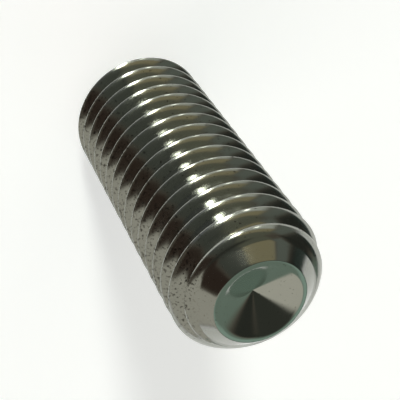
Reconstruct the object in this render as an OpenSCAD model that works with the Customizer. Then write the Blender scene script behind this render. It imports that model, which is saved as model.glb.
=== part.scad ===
// Hexagon-socket set screw with a cup point and a right-hand ISO metric coarse thread.
// One cold-formed piece with a rolled thread. It stands on its socket end, cup point up.
// Millimetres, +Z up, origin at the middle of the socket end face.

/* [Thread] */
// Major (outside) diameter of the thread
thread_d = 10; // [8:0.1:16]
// Pitch, the rise of the thread in one turn
pitch = 1.5; // [1:0.05:2]
// Included angle between the two flanks of a groove
flank_angle = 60; // [50:1:70]
// Height at which the crest crosses the +X side, which sets where the helix starts
thread_start = 0.385; // [0:0.005:1]
// Overall length of the screw
screw_l = 25; // [16:0.5:60]

/* [Cup point] */
// Diameter of the cup's rim, where the point ends
cup_d = 6; // [4:0.1:7.4]
// Width of the narrow flat left on the cup's rim
rim_land = 0.12; // [0.05:0.01:0.3]
// Included angle of the cup's cone
cup_angle = 130; // [90:1:150]
// Slope of the point's bevel, from the end face
point_slope = 45; // [30:1:60]
// How far the last crest falls short of the thread's radius, where the bevel ends
crest_shortfall = 0.7; // [0.2:0.05:1]
// Length under the bevel over which the crests rise to their full height, as rolling leaves them
taper_l = 1.8; // [0.5:0.1:3]

/* [Hexagon socket] */
// Width across the flats of the socket
socket_af = 5; // [3:0.1:6]
// Depth of the socket's flats
socket_depth = 6; // [3:0.1:8]
// Included angle of the cone under the flats, left by the pilot hole
pilot_angle = 120; // [90:1:150]
// How far the countersink at the mouth reaches past the socket's corners
mouth_margin = 0.12; // [0.05:0.01:0.3]
// Included angle of that countersink
mouth_angle = 120; // [90:1:150]

/* [Socket end] */
// Diameter of the flat end face, where the bevel starts
end_face_d = 7.6; // [7:0.1:9]
// Slope of the bevel, from the end face
end_slope = 45; // [30:1:60]

/* [Hidden] */
steel = "#8c8f8b";
// Sides of a full circle on turned surfaces, and steps in one turn of the helix
ROUND = 96;
STEPS = 36;
// How far a cut runs past the face that it opens
OVER = 0.5;
// How far the rod's crests stand proud, for the blank's cylinder to trim them true
PROUD = 0.06;

thread_r = thread_d / 2;
cup_r = cup_d / 2;
cup_mouth_r = cup_r - rim_land;
// Where the bevel ends and the taper over the last crests starts
bevel_r = thread_r - crest_shortfall;
bevel_foot = screw_l - (bevel_r - cup_r) * tan(point_slope);
// Distance from the socket's axis to its corners
socket_corner_r = socket_af / 2 / cos(30);
socket_mouth_r = socket_corner_r + mouth_margin;

// The ISO profile: the crest is an eighth of the pitch wide and the root a sixth.
crest_flat = pitch / 8;
root_flat = pitch / 6;
flank_slope = tan(flank_angle / 2);
flank_rise = (pitch - crest_flat - root_flat) / 2;
root_r = thread_r - flank_rise / flank_slope;
proud_r = thread_r + PROUD;
proud_inset = PROUD * flank_slope;

// One pitch of the profile as [height in the turn, radius]: crest, flank, root.
// The flank that closes the groove runs on to the crest of the next turn.
PROFILE = [
    [proud_inset, proud_r],
    [crest_flat - proud_inset, proud_r],
    [crest_flat + flank_rise, root_r],
    [pitch - flank_rise, root_r],
];
LAST = len(PROFILE) - 1;

// The helix runs on past each end by a turn or more, which the blank cuts off.
turns = ceil(screw_l / pitch) + 3;
rows = turns * STEPS;

function rod_point(row, column) =
    let (angle = 360 * row / STEPS, turn_start = thread_start + pitch * (row / STEPS - 2))
    [
        PROFILE[column][1] * cos(angle),
        PROFILE[column][1] * sin(angle),
        turn_start + PROFILE[column][0],
    ];

// Index of a point, which are numbered along the profile and then along the helix
function at(row, column) = row * len(PROFILE) + column;

// A four-sided patch as two triangles
function patch(a, b, c, d) = [[a, b, c], [a, c, d]];

// A threaded rod with no end form: crest, flanks and root follow the helix, and at each end
// a fan from the axis closes the last turn, with a step where that turn starts.
module threaded_rod() {
    bottom = at(rows + 1, 0);
    top = bottom + 1;
    points = concat(
        [for (row = [0:rows], column = [0:LAST]) rod_point(row, column)],
        [[0, 0, -2 * pitch], [0, 0, pitch * (turns + 1)]]
    );
    along_profile = [
        for (row = [0:rows - 1], column = [0:LAST - 1])
            each patch(
                at(row, column), at(row + 1, column),
                at(row + 1, column + 1), at(row, column + 1)
            )
    ];
    to_next_turn = [
        for (row = [0:rows - 1 - STEPS])
            each patch(
                at(row, LAST), at(row + 1, LAST),
                at(row + 1 + STEPS, 0), at(row + STEPS, 0)
            )
    ];
    bottom_fan = [for (row = [0:STEPS - 1]) [bottom, at(row + 1, 0), at(row, 0)]];
    bottom_step = concat(
        [[bottom, at(0, LAST), at(STEPS, 0)]],
        [for (column = [0:LAST - 1]) [bottom, at(0, column), at(0, column + 1)]]
    );
    top_fan = [for (row = [rows - STEPS:rows - 1]) [top, at(row, LAST), at(row + 1, LAST)]];
    top_step = concat(
        [[top, at(rows, 0), at(rows - STEPS, LAST)]],
        [for (column = [0:LAST - 1]) [top, at(rows, column + 1), at(rows, column)]]
    );
    faces = concat(along_profile, to_next_turn, bottom_fan, bottom_step, top_fan, top_step);
    // Faces are listed anticlockwise from outside, and polyhedron() takes them clockwise.
    polyhedron(points = points, faces = [for (face = faces) [face[0], face[2], face[1]]]);
}

// The outline that trims the rod: end face, bevel, the cylinder of the crests, taper, bevel
// and rim.
module blank() {
    rotate_extrude($fn = ROUND)
        polygon([
            [0, 0],
            [end_face_d / 2, 0],
            [thread_r, (thread_r - end_face_d / 2) * tan(end_slope)],
            [thread_r, bevel_foot - taper_l],
            [bevel_r, bevel_foot],
            [cup_r, screw_l],
            [0, screw_l],
        ]);
}

// A cone whose tip is at height 0. It opens upwards and runs on past the stated radius.
module open_cone(radius, angle) {
    slope = tan(angle / 2);
    height = radius / slope + OVER;
    cylinder(h = height, r1 = 0, r2 = height * slope, $fn = ROUND);
}

// The cup, sunk into the point so that its mouth leaves the narrow rim.
module cup() {
    translate([0, 0, screw_l - cup_mouth_r / tan(cup_angle / 2)])
        open_cone(cup_mouth_r, cup_angle);
}

// The hexagon socket: its flats, the pilot hole's cone under them and a countersunk mouth.
module socket() {
    flat_r = socket_af / 2;
    translate([0, 0, -OVER])
        cylinder(h = socket_depth + OVER, r = socket_corner_r, $fn = 6);
    translate([0, 0, socket_depth])
        cylinder(h = flat_r / tan(pilot_angle / 2), r1 = flat_r, r2 = 0, $fn = ROUND);
    translate([0, 0, socket_mouth_r / tan(mouth_angle / 2)])
        mirror([0, 0, 1])
            open_cone(socket_mouth_r, mouth_angle);
}

module set_screw() {
    color(steel)
        difference() {
            intersection() {
                threaded_rod();
                blank();
            }
            cup();
            socket();
        }
}

set_screw();
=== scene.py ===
"""Looks, light and camera for a cup-point set screw with a hexagon socket.

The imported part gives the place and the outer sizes. One mesh stands for it, with the crests,
roots and run-outs that thread rolling leaves, and four steel finishes on it.
"""

import math

import bpy
import numpy as np
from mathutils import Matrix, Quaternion, Vector


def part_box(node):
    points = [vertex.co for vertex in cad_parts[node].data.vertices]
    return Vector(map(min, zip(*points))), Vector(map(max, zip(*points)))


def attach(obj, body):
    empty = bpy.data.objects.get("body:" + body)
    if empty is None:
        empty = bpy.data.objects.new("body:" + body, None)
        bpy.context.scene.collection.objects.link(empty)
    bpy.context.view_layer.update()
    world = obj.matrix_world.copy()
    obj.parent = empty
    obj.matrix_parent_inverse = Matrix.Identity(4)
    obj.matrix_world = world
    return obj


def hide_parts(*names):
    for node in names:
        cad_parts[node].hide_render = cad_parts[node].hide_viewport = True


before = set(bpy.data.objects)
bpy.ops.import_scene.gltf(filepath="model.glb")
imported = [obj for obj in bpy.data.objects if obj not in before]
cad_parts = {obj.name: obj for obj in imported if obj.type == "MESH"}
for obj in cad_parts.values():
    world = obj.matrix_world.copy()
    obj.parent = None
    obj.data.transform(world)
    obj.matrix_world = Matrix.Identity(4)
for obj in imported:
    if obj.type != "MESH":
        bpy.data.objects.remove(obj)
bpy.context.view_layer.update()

# ---------------------------------------------------------------- sizes, in metres
MM = 0.001
LOW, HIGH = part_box("set_screw")
LENGTH = HIGH[2] - LOW[2]
THREAD_R = 5.0 * MM
PITCH = 1.5 * MM
# Height at which the crest crosses the +X side
THREAD_START = 0.385 * MM
CREST_FLAT = PITCH / 8
THREAD_DEPTH = 0.90 * MM
FLANK_SLOPE = math.tan(math.radians(60))
# Rolling does not fill a crest. Its top is a blunt roof, this far from the middle to where
# the flank starts, and it gets broader over the last turns before the point
ROOF_SLOPE = math.tan(math.radians(37))
ROOF_HALF = 0.20 * MM
ROOF_HALF_AT_POINT = 0.38 * MM
ROOF_GROWTH = 9.0 * MM
# Widths over which the ridge, the edge of the roof and the root turn
RIDGE_TURN = 0.02 * MM
ROOF_BLEND = 0.18 * MM
ROOT_BLEND = 0.30 * MM

CUP_R = 3.0 * MM
# The cone of the cup rises about 25 degrees, to a rounded lip that still slopes at the rim
CUP_TILT = 24.5
LIP_TILT = 6
LIP_WIDTH = 0.42 * MM
RIM_ROUND = 0.07 * MM
# The bevel rises 45 degrees from the rim to this radius, where the low bead that rolling
# pushes up starts. The crests under it only reach a slim taper
BEVEL_R = 3.8 * MM
BEAD_R = 4.32 * MM
BEAD_STEEPNESS = 1.7
TAPER_SLOPE = 0.80
# Widths over which the bead and the low crests turn
BEAD_BLEND = 0.12 * MM
LOW_CREST_BLEND = 0.30 * MM
END_BLEND = 0.12 * MM
END_FACE_R = 3.8 * MM
# Rounds at the end face's outer edge and at the socket's mouth
END_EDGE_ROUND = 0.10 * MM
MOUTH_ROUND = 0.05 * MM
SOCKET_FLAT_R = 2.5 * MM
SOCKET_DEPTH = 6.0 * MM
SOCKET_MOUTH_R = SOCKET_FLAT_R / math.cos(math.radians(30)) + 0.12 * MM
CONE_SLOPE = math.tan(math.radians(60))
# Radius of the last ring before the tip of the cup's cone and of the pilot cone
CUP_TIP_R = 0.03 * MM
CONE_TIP_R = 0.05 * MM

# Steps round the screw, a multiple of six for the socket
AROUND = 192
# Distances from the middle of a crest, up to the root, where the grid has a line of points
HALF_STATIONS = [0, 0.02, 0.045, 0.08, 0.13, 0.19, 0.25, 0.31, 0.38, 0.46, 0.56, 0.66]
# Rings at which the helical grid gives way to plain rings, below the roots at both ends
LOW_RING = 0.06 * MM
HIGH_RING = LENGTH - 0.95 * MM


# ---------------------------------------------------------------- thread form
def soft_min(a, b, width):
    """The smaller of two heights, with the corner rounded over the width."""
    share = np.clip(0.5 + 0.5 * (b - a) / width, 0, 1)
    return b + (a - b) * share - width * share * (1 - share)


def soft_max(a, b, width):
    return -soft_min(-a, -b, width)


def groove_radius(from_crest, roof_half):
    """Radius of the rolled profile at a distance along the axis from the middle of a crest."""
    roof = THREAD_R - (np.hypot(from_crest, RIDGE_TURN) - RIDGE_TURN) * ROOF_SLOPE
    flank = THREAD_R - roof_half * ROOF_SLOPE - (from_crest - roof_half) * FLANK_SLOPE
    crest = soft_min(roof, flank, ROOF_BLEND)
    return soft_max(crest, THREAD_R - THREAD_DEPTH + 0 * crest, ROOT_BLEND)


def screw_radius(height, angle):
    """Radius of the threaded surface, with the end forms."""
    turns = (height - THREAD_START - CREST_FLAT / 2) / PITCH - angle / (2 * math.pi)
    from_crest = np.abs(turns - np.round(turns)) * PITCH
    below_tip = LENGTH - height
    near_point = np.clip(1 - below_tip / ROOF_GROWTH, 0, 1)
    roof_half = ROOF_HALF + (ROOF_HALF_AT_POINT - ROOF_HALF) * near_point ** 2
    radius = groove_radius(from_crest, roof_half)
    bevel = CUP_R + below_tip
    bead_side = BEVEL_R + (below_tip - (BEVEL_R - CUP_R)) * BEAD_STEEPNESS
    bead_foot = (BEVEL_R - CUP_R) + (BEAD_R - BEVEL_R) / BEAD_STEEPNESS
    taper = BEAD_R + (below_tip - bead_foot) * TAPER_SLOPE
    radius = soft_min(radius, taper, LOW_CREST_BLEND)
    radius = soft_min(radius, soft_max(bevel, bead_side, BEAD_BLEND / 2), BEAD_BLEND)
    return soft_min(radius, END_FACE_R + height, END_BLEND)


# ---------------------------------------------------------------- mesh
class Shell:
    """Vertices and faces of one closed surface, laid down ring by ring."""

    def __init__(self):
        self.points = []
        self.faces = []
        self.finishes = []

    def ring(self, radius, height):
        """One ring of points. Radius and height are numbers, or arrays with one entry a step."""
        angle = np.arange(AROUND) * 2 * math.pi / AROUND
        radius = np.broadcast_to(radius, AROUND)
        height = np.broadcast_to(height, AROUND)
        first = len(self.points)
        self.points += list(zip(radius * np.cos(angle), radius * np.sin(angle), height))
        return [first + step for step in range(AROUND)]

    def face(self, corners, finish):
        """A face without its repeated corners, left out if fewer than three remain."""
        kept = [c for n, c in enumerate(corners) if c != corners[n - 1]]
        if len(set(kept)) > 2:
            self.faces.append(kept)
            self.finishes.append(finish)

    def join(self, below, above, finish):
        for step in range(AROUND):
            after = (step + 1) % AROUND
            self.face([below[step], below[after], above[after], above[step]], finish)

    def revolve(self, start, profile, finish):
        """Rings along a profile of radius and height, joined to the start and to each other."""
        for radius, height in profile:
            ring = self.ring(radius, height)
            self.join(start, ring, finish)
            start = ring
        return start

    def close(self, ring, height, finish):
        """A fan from a ring to a point on the axis."""
        tip = len(self.points)
        self.points.append((0, 0, height))
        for step in range(AROUND):
            self.face([ring[step], ring[(step + 1) % AROUND], tip], finish)


def thread_stations():
    """Heights in one pitch, from the middle of a crest to just under the next."""
    up = np.array(HALF_STATIONS) * MM
    return np.concatenate([up, [PITCH / 2], PITCH - up[:0:-1]])


def thread_grid(shell, finish):
    """The helical grid between the two plain rings. Returns those rings."""
    angles = np.arange(AROUND) * 2 * math.pi / AROUND
    low_ring = shell.ring(screw_radius(LOW_RING, angles), LOW_RING)
    high_ring = shell.ring(screw_radius(HIGH_RING, angles), HIGH_RING)
    pitches = math.ceil((HIGH_RING - LOW_RING) / PITCH) + 2
    first_height = THREAD_START + CREST_FLAT / 2 - 2 * PITCH
    stations = thread_stations()
    rows = np.concatenate([first_height + p * PITCH + stations for p in range(pitches + 1)])
    heights = rows[None, :] + PITCH * angles[:, None] / (2 * math.pi)
    radii = screw_radius(heights, angles[:, None])
    number = np.empty(heights.shape, int)
    for step in range(AROUND):
        for row in range(len(rows)):
            height = heights[step, row]
            if height <= LOW_RING:
                number[step, row] = low_ring[step]
            elif height >= HIGH_RING:
                number[step, row] = high_ring[step]
            else:
                number[step, row] = len(shell.points)
                radius = radii[step, row]
                angle = angles[step]
                shell.points.append((radius * math.cos(angle), radius * math.sin(angle), height))
    last = len(rows) - 1
    for step in range(AROUND):
        seam = step == AROUND - 1
        after = 0 if seam else step + 1
        lift = len(stations) if seam else 0
        for row in range(last):
            lower = min(row + lift, last)
            upper = min(row + 1 + lift, last)
            shell.face([
                number[step, row], number[after, lower],
                number[after, upper], number[step, row + 1],
            ], finish)
    return low_ring, high_ring


def arc(centre, radius, start, end, steps):
    """Points on an arc in the plane of radius and height, with angles in degrees."""
    points = []
    for turn in np.linspace(math.radians(start), math.radians(end), steps):
        points.append((centre[0] + radius * math.cos(turn), centre[1] + radius * math.sin(turn)))
    return points


def lerp_profile(start, end, steps):
    """Points between two corners of a profile, with the last one on the end."""
    start, end = np.array(start), np.array(end)
    return [tuple(start + (end - start) * n / steps) for n in range(1, steps + 1)]


def point_and_cup(shell, ring, turned, coined):
    """From the last thread ring over the bevel and the rounded rim into the cone of the cup."""
    bevel_start = (CUP_R + LENGTH - HIGH_RING, HIGH_RING)
    rim = arc((CUP_R - RIM_ROUND, LENGTH - RIM_ROUND), RIM_ROUND, 45, 90 + LIP_TILT, 6)
    ring = shell.revolve(ring, lerp_profile(bevel_start, rim[0], 10), turned)
    ring = shell.revolve(ring, rim[1:], turned)
    first, last = math.radians(90 + LIP_TILT), math.radians(90 + CUP_TILT)
    lip_round = LIP_WIDTH / (math.cos(first) - math.cos(last))
    lip_centre = (rim[-1][0] - lip_round * math.cos(first),
                  rim[-1][1] - lip_round * math.sin(first))
    lip = arc(lip_centre, lip_round, 90 + LIP_TILT, 90 + CUP_TILT, 12)
    ring = shell.revolve(ring, lip[1:], coined)
    slope = math.tan(math.radians(CUP_TILT))
    tip_height = lip[-1][1] - lip[-1][0] * slope
    near_tip = (CUP_TIP_R, tip_height + CUP_TIP_R * slope)
    ring = shell.revolve(ring, lerp_profile(lip[-1], near_tip, 24), coined)
    shell.close(ring, tip_height, coined)


def socket_end(shell, ring, turned, formed):
    """From the first thread ring under the end face and up the flats of the socket."""
    edge = arc((END_FACE_R - END_EDGE_ROUND * 0.4, END_EDGE_ROUND), END_EDGE_ROUND, -45, -90, 5)
    ring = shell.revolve(ring, edge, turned)
    lip = arc((SOCKET_MOUTH_R + MOUTH_ROUND, MOUTH_ROUND), MOUTH_ROUND, -90, -150, 4)
    ring = shell.revolve(ring, lerp_profile(edge[-1], lip[0], 6) + lip[1:], turned)
    steps = np.arange(AROUND)
    from_flat = (steps * 360 / AROUND) % 60 - 30
    hexagon = SOCKET_FLAT_R / np.cos(np.radians(from_flat))
    mouth = (SOCKET_MOUTH_R - hexagon) / CONE_SLOPE
    below = shell.ring(hexagon, mouth)
    shell.join(ring, below, turned)
    for share in np.linspace(0, 1, 13)[1:]:
        above = shell.ring(hexagon, mouth + (SOCKET_DEPTH - mouth) * share)
        shell.join(below, above, formed)
        below = above
    near_tip = (CONE_TIP_R, SOCKET_DEPTH + (SOCKET_FLAT_R - CONE_TIP_R) / CONE_SLOPE)
    cone = lerp_profile((SOCKET_FLAT_R, SOCKET_DEPTH), near_tip, 10)
    ring = shell.revolve(below, [(SOCKET_FLAT_R, SOCKET_DEPTH)] + cone, formed)
    shell.close(ring, SOCKET_DEPTH + SOCKET_FLAT_R / CONE_SLOPE, formed)


def make_screw(materials):
    """The whole screw as one closed mesh, with a finish for each way its surface was made."""
    shell = Shell()
    rolled, turned, coined, formed = range(4)
    low_ring, high_ring = thread_grid(shell, rolled)
    point_and_cup(shell, high_ring, turned, coined)
    outward = len(shell.faces)
    socket_end(shell, low_ring, turned, formed)
    shell.faces[outward:] = [face[::-1] for face in shell.faces[outward:]]
    mesh = bpy.data.meshes.new("screw")
    mesh.from_pydata(shell.points, [], shell.faces)
    mesh.polygons.foreach_set("material_index", shell.finishes)
    mesh.shade_smooth()
    mesh.set_sharp_from_angle(angle=math.radians(38))
    for material in materials:
        mesh.materials.append(material)
    mesh.validate()
    screw = bpy.data.objects.new("screw", mesh)
    bpy.context.collection.objects.link(screw)
    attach(screw, "root")
    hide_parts("set_screw")
    return screw


# ---------------------------------------------------------------- materials
# Azimuth of the side with the most specks, in degrees from +X. That side mirrors the pale board,
# and the specks there are a painted reflection of a speckled surface.
SPECKLED_REFLECTION_SIDE = -38
# Size of the faint patches in the steel, left by handling
PATCH_SIZE = 1.6 * MM
# The tooth of paper is about 0.05 mm. It is drawn this coarse to show at all
FIBRE_SIZE = 0.8 * MM
# Share of white that the paper adds where it is seen, to reach white in the open
PAPER_LIFT = 0.4


def linear(code):
    """A hex colour, as seen on a screen, as linear red, green, blue and alpha."""
    parts = [int(code[n:n + 2], 16) / 255 for n in (1, 3, 5)]
    return [p / 12.92 if p <= 0.04045 else ((p + 0.055) / 1.055) ** 2.4 for p in parts] + [1]


def add(tree, kind, settings=None, **links):
    """A new node with its settings. Inputs are set to numbers, or linked to a socket or to the
    first output of another node. An input is named, or numbered as i0, i1 and so on."""
    node = tree.nodes.new(kind)
    for name, value in (settings or {}).items():
        setattr(node, name, value)
    for name, value in links.items():
        key = int(name[1:]) if name[0] == "i" and name[1:].isdigit() else name.replace("_", " ")
        if isinstance(value, bpy.types.Node):
            value = value.outputs[0]
        if isinstance(value, bpy.types.NodeSocket):
            tree.links.new(value, node.inputs[key])
        else:
            node.inputs[key].default_value = value
    return node


# Settings of the nodes that are used most
TIMES = {"operation": "MULTIPLY"}
MINUS = {"operation": "SUBTRACT"}
TIMES_PLUS = {"operation": "MULTIPLY_ADD"}
SIZE = {"operation": "ABSOLUTE"}
LOWER = {"operation": "MINIMUM"}
HIGHER = {"operation": "MAXIMUM"}
SOFT = {"interpolation_type": "SMOOTHSTEP"}
COLOURS = {"data_type": "RGBA"}


def steel(name, tint, worn_tint, roughness, line_width, line_depth, fleck, fleck_size):
    """Bright steel with the lines that its making left, faint patches and small dark flecks. The
    flecks thicken on the side that mirrors the pale board, as a painted reflection of a speckled
    surface. Real lines are about 0.01 mm wide. Theirs is given in mm, as coarse as it needs to be
    to show."""
    material = bpy.data.materials.new(name)
    material.use_nodes = True
    tree = material.node_tree
    tree.nodes.clear()
    place = add(tree, "ShaderNodeTexCoord").outputs["Object"]
    axes = add(tree, "ShaderNodeSeparateXYZ", Vector=place).outputs
    across = add(tree, "ShaderNodeCombineXYZ", X=axes["X"], Y=axes["Y"])
    radius = add(tree, "ShaderNodeVectorMath", {"operation": "LENGTH"}, i0=across).outputs["Value"]
    # Lines of equal radius follow the helix on a flank and ring the bevel and the cup
    lines = add(tree, "ShaderNodeTexNoise", {"noise_dimensions": "1D"},
                W=radius, Scale=1 / (line_width * MM), Detail=2.0, Roughness=0.6)
    patches = add(tree, "ShaderNodeTexNoise", Vector=place,
                  Scale=1 / PATCH_SIZE, Detail=3.0, Roughness=0.55)
    specks = add(tree, "ShaderNodeTexNoise", Vector=place,
                 Scale=1 / (fleck_size * MM), Detail=1.0, Roughness=0.6)
    # Painted reflection: the flecks thicken towards the side that mirrors the pale board, as if a
    # speckled surface were reflected there
    side = add(tree, "ShaderNodeVectorMath", {"operation": "DOT_PRODUCT"},
               i0=place, i1=tuple(direction(SPECKLED_REFLECTION_SIDE, 0) / THREAD_R)).outputs["Value"]
    least = add(tree, "ShaderNodeMapRange", Value=side, From_Min=0.50, From_Max=0.80,
                To_Min=0.71, To_Max=0.55)
    reflected_specks = add(tree, "ShaderNodeMapRange", Value=specks, From_Min=least, From_Max=0.72)
    clean = add(tree, "ShaderNodeMix", COLOURS,
                i0=patches, i6=linear(tint), i7=linear(worn_tint)).outputs[2]
    # The flecks are painted into the colour, as a painted reflection of a speckled surface
    colour = add(tree, "ShaderNodeMix", COLOURS, i0=reflected_specks, i6=clean, i7=linear(fleck)).outputs[2]
    shine = add(tree, "ShaderNodeMapRange", Value=patches, From_Min=0.3, From_Max=0.7,
                To_Min=roughness * 0.75, To_Max=roughness * 1.35)
    dulled = add(tree, "ShaderNodeMath", TIMES_PLUS, i0=reflected_specks, i1=0.03, i2=shine)
    bump = add(tree, "ShaderNodeBump", Height=lines, Strength=1.0, Distance=line_depth * MM)
    shader = add(tree, "ShaderNodeBsdfPrincipled", Base_Color=colour, Metallic=1.0,
                 Roughness=dulled, Normal=bump)
    add(tree, "ShaderNodeOutputMaterial", Surface=shader)
    return material


def rolled_steel():
    """Rolled, passivated stainless steel. The rolls burnish the flanks, so they are mirror
    bright with faint lines along the thread."""
    return steel("rolled_stainless_steel", "#9a9b95", "#94968f", 0.14, 0.11, 0.00012,
                 "#45433d", 0.17)


def turned_steel():
    """Turned stainless steel. The tool leaves fine rings on the bevels and in the cup, and
    reflections smear a little across them."""
    return steel("turned_stainless_steel", "#9a9b95", "#93958e", 0.12, 0.07, 0.0004,
                 "#83837b", 0.14)


def coined_steel():
    """Coined stainless steel. The punch presses the cup smooth, which leaves it the brightest
    face, with hardly a line in it."""
    return steel("coined_stainless_steel", "#aeb0a9", "#a6a8a1", 0.09, 0.07, 0.0003,
                 "#8a8b83", 0.16)


def formed_steel():
    """Cold-formed stainless steel. The hexagon punch leaves the socket duller than the rest."""
    return steel("formed_stainless_steel", "#94958f", "#868883", 0.24, 0.16, 0.002, "#45443e", 0.2)


def paper():
    """Seamless studio paper, matt and almost white, with the faint tooth of its fibres."""
    material = bpy.data.materials.new("studio_paper")
    material.use_nodes = True
    tree = material.node_tree
    tree.nodes.clear()
    place = add(tree, "ShaderNodeTexCoord").outputs["Object"]
    fibres = add(tree, "ShaderNodeTexNoise", Vector=place, Scale=1 / FIBRE_SIZE, Detail=3.0)
    colour = add(tree, "ShaderNodeMix", COLOURS,
                 i0=fibres, i6=linear("#ecebef"), i7=linear("#f1f0f4")).outputs[2]
    matt = add(tree, "ShaderNodeBsdfDiffuse", Color=colour)
    path = add(tree, "ShaderNodeLightPath").outputs
    seen = add(tree, "ShaderNodeMath", HIGHER, i0=path["Is Camera Ray"], i1=path["Is Glossy Ray"])
    seen = add(tree, "ShaderNodeMath", HIGHER, i0=seen, i1=path["Is Transmission Ray"])
    lift = add(tree, "ShaderNodeMath", TIMES, i0=seen, i1=PAPER_LIFT)
    glow = add(tree, "ShaderNodeEmission", Color=(1, 1, 1, 1), Strength=lift)
    both = add(tree, "ShaderNodeAddShader", i0=matt, i1=glow)
    add(tree, "ShaderNodeOutputMaterial", Surface=both)
    return material


# ---------------------------------------------------------------- studio
def make_floor():
    half = 3.0
    mesh = bpy.data.meshes.new("paper_floor")
    corners = [(-half, -half, 0), (half, -half, 0), (half, half, 0), (-half, half, 0)]
    mesh.from_pydata(corners, [], [(0, 1, 2, 3)])
    mesh.materials.append(paper())
    floor = bpy.data.objects.new("paper_floor", mesh)
    floor.location.z = LOW[2]
    bpy.context.collection.objects.link(floor)


def direction(azimuth, elevation):
    """Unit vector to a place in the room. Azimuth is measured from +X towards +Y."""
    a, e = math.radians(azimuth), math.radians(elevation)
    return Vector((math.cos(a) * math.cos(e), math.sin(a) * math.cos(e), math.sin(e)))


def board(tree, azimuth, elevation, place, soft):
    """1 inside a board of the room and 0 outside. Its place is the middle azimuth, half the
    width, and the lower and upper edge, and its edges blur over the softness."""
    centre, half, low, high = place
    offset = add(tree, "ShaderNodeMath", MINUS, i0=azimuth, i1=centre)
    offset = add(tree, "ShaderNodeMath", {"operation": "WRAP"}, i0=offset, i1=180.0, i2=-180.0)
    aside = add(tree, "ShaderNodeMath", SIZE, i0=offset)
    from_side = add(tree, "ShaderNodeMath", MINUS, i0=half, i1=aside)
    from_floor = add(tree, "ShaderNodeMath", MINUS, i0=elevation, i1=low)
    from_top = add(tree, "ShaderNodeMath", MINUS, i0=high, i1=elevation)
    inside = add(tree, "ShaderNodeMath", LOWER, i0=from_side, i1=from_floor)
    inside = add(tree, "ShaderNodeMath", LOWER, i0=inside, i1=from_top)
    return add(tree, "ShaderNodeMapRange", SOFT, Value=inside, From_Min=-soft, From_Max=soft)


def make_room():
    """A studio: paper that sweeps up a little, a plain wall, boards round the set, a strip
    light, and a dim ceiling."""
    world = bpy.data.worlds.new("studio")
    bpy.context.scene.world = world
    world.use_nodes = True
    tree = world.node_tree
    tree.nodes.clear()
    look = add(tree, "ShaderNodeTexCoord").outputs["Generated"]
    turned = add(tree, "ShaderNodeVectorRotate", {"rotation_type": "Z_AXIS"},
                 Vector=look, Angle=math.radians(-VIEW_AZIMUTH))
    axes = add(tree, "ShaderNodeSeparateXYZ", Vector=turned).outputs
    azimuth = add(tree, "ShaderNodeMath", {"operation": "ARCTAN2"}, i0=axes["Y"], i1=axes["X"])
    azimuth = add(tree, "ShaderNodeMath", TIMES, i0=azimuth, i1=180 / math.pi)
    elevation = add(tree, "ShaderNodeMath", {"operation": "ARCSINE"}, i0=axes["Z"])
    elevation = add(tree, "ShaderNodeMath", TIMES, i0=elevation, i1=180 / math.pi)

    colour = linear(WALL)
    for place, soft, shade in BOARDS:
        inside = board(tree, azimuth, elevation, place, soft)
        colour = add(tree, "ShaderNodeMix", COLOURS,
                     i0=inside, i6=colour, i7=linear(shade)).outputs[2]
    sweep = (SWEEP_TOP + 1, SWEEP_TOP - 1, SWEEP)
    for start, end, shade in (sweep, (CEILING_START, CEILING_FULL, CEILING)):
        share = add(tree, "ShaderNodeMapRange", SOFT, Value=elevation, From_Min=start, From_Max=end)
        colour = add(tree, "ShaderNodeMix", COLOURS,
                     i0=share, i6=colour, i7=linear(shade)).outputs[2]
    glow = 1.0
    for place, soft, strength in LIGHTS:
        inside = board(tree, azimuth, elevation, place, soft)
        glow = add(tree, "ShaderNodeMath", TIMES_PLUS, i0=inside, i1=strength, i2=glow)
    background = add(tree, "ShaderNodeBackground", Color=colour, Strength=glow)
    add(tree, "ShaderNodeOutputWorld", Surface=background)


def make_sun(name, azimuth, elevation, strength, spread):
    """A soft lamp far away. The spread is the angle over which it is seen, in degrees."""
    lamp = bpy.data.lights.new(name, "SUN")
    lamp.energy = strength
    lamp.angle = math.radians(spread)
    sun = bpy.data.objects.new(name, lamp)
    aim = direction(VIEW_AZIMUTH + azimuth, elevation)
    sun.rotation_mode = "QUATERNION"
    sun.rotation_quaternion = aim.to_track_quat("Z", "Y")
    bpy.context.collection.objects.link(sun)
    return sun


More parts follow.
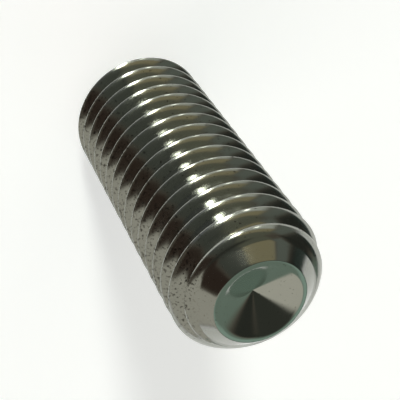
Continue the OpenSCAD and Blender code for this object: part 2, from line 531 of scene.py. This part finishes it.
def make_camera():
    """A camera above the cup point, turned so that the point is at the lower right."""
    data = bpy.data.cameras.new("camera")
    data.sensor_width = 36
    data.lens = VIEW_LENS
    data.clip_start = 1 * MM
    data.clip_end = 100
    camera = bpy.data.objects.new("camera", data)
    aim = direction(VIEW_AZIMUTH + 90, 0) * VIEW_ASIDE + Vector((0, 0, VIEW_HEIGHT))
    back = direction(VIEW_AZIMUTH, VIEW_ELEVATION)
    camera.location = aim + back * VIEW_DISTANCE
    camera.rotation_mode = "QUATERNION"
    roll = Quaternion((0, 0, 1), math.radians(VIEW_ROLL))
    camera.rotation_quaternion = back.to_track_quat("Z", "Y") @ roll
    bpy.context.collection.objects.link(camera)
    bpy.context.scene.camera = camera


# Side of the screw that the camera is on, and how it looks
VIEW_AZIMUTH = -96.6
VIEW_ELEVATION = 51.75
VIEW_DISTANCE = 70.5 * MM
VIEW_HEIGHT = 13.76 * MM
VIEW_ASIDE = -0.32 * MM
VIEW_ROLL = 146.67
VIEW_LENS = 95.1

# The studio, with azimuth 0 behind the camera. Angles are in degrees
WALL = "#6c655b"
CEILING = "#42443e"
CEILING_START, CEILING_FULL = 63, 73
SWEEP = "#ffffff"
SWEEP_TOP = 3
# Boards: azimuth, half width, lower and upper edge, then softness and colour
BOARDS = [
    # Grey-green back of the room
    ((180, 40, 0, 75), 8, "#86988c"),
    # Grey card on the left, and a dark curtain behind it
    ((-90, 10, 0, 45), 4, "#80877f"),
    ((-118, 15, 0, 75), 6, "#3a3c37"),
    # White reflector with a beige card and a olive card over it
    ((-45, 30, 0, 29), 5, "#dfe3da"),
    ((-50, 28, 29, 46), 2, "#afa685"),
    ((-55, 30, 46, 75), 3, "#797b6b"),
    # Grey card in front, with slate above it
    ((5, 20, 0, 29), 8, "#82878a"),
    ((0, 25, 29, 75), 4, "#5b5f58"),
    # Dark brown board on the right
    ((50, 20, 29, 75), 4, "#463a33"),
    # Pale board on the far right
    ((112, 38, 4, 72), 2, "#dcd9ce"),
    # Pale green card high at the back, and a low dark one on the left
    ((180, 26, 40, 64), 4, "#a8c2b6"),
    ((-122, 17, 0, 14), 2, "#3f4b46"),
]
# Strip lights: azimuth, half width, lower and upper edge, then softness and strength
LIGHTS = [
    ((-21, 4.3, 16, 34), 3.0, 100.0),
    ((-50, 2.5, 8, 20), 2.0, 7.0),
]

bpy.context.scene.view_settings.view_transform = "Standard"
make_screw([rolled_steel(), turned_steel(), coined_steel(), formed_steel()])
make_floor()
make_room()
fill = make_sun("fill", 150, 75, 0.42, 140)
# The fill lights the paper. Metal shows the panels and strip lights instead
fill.visible_glossy = False
make_camera()
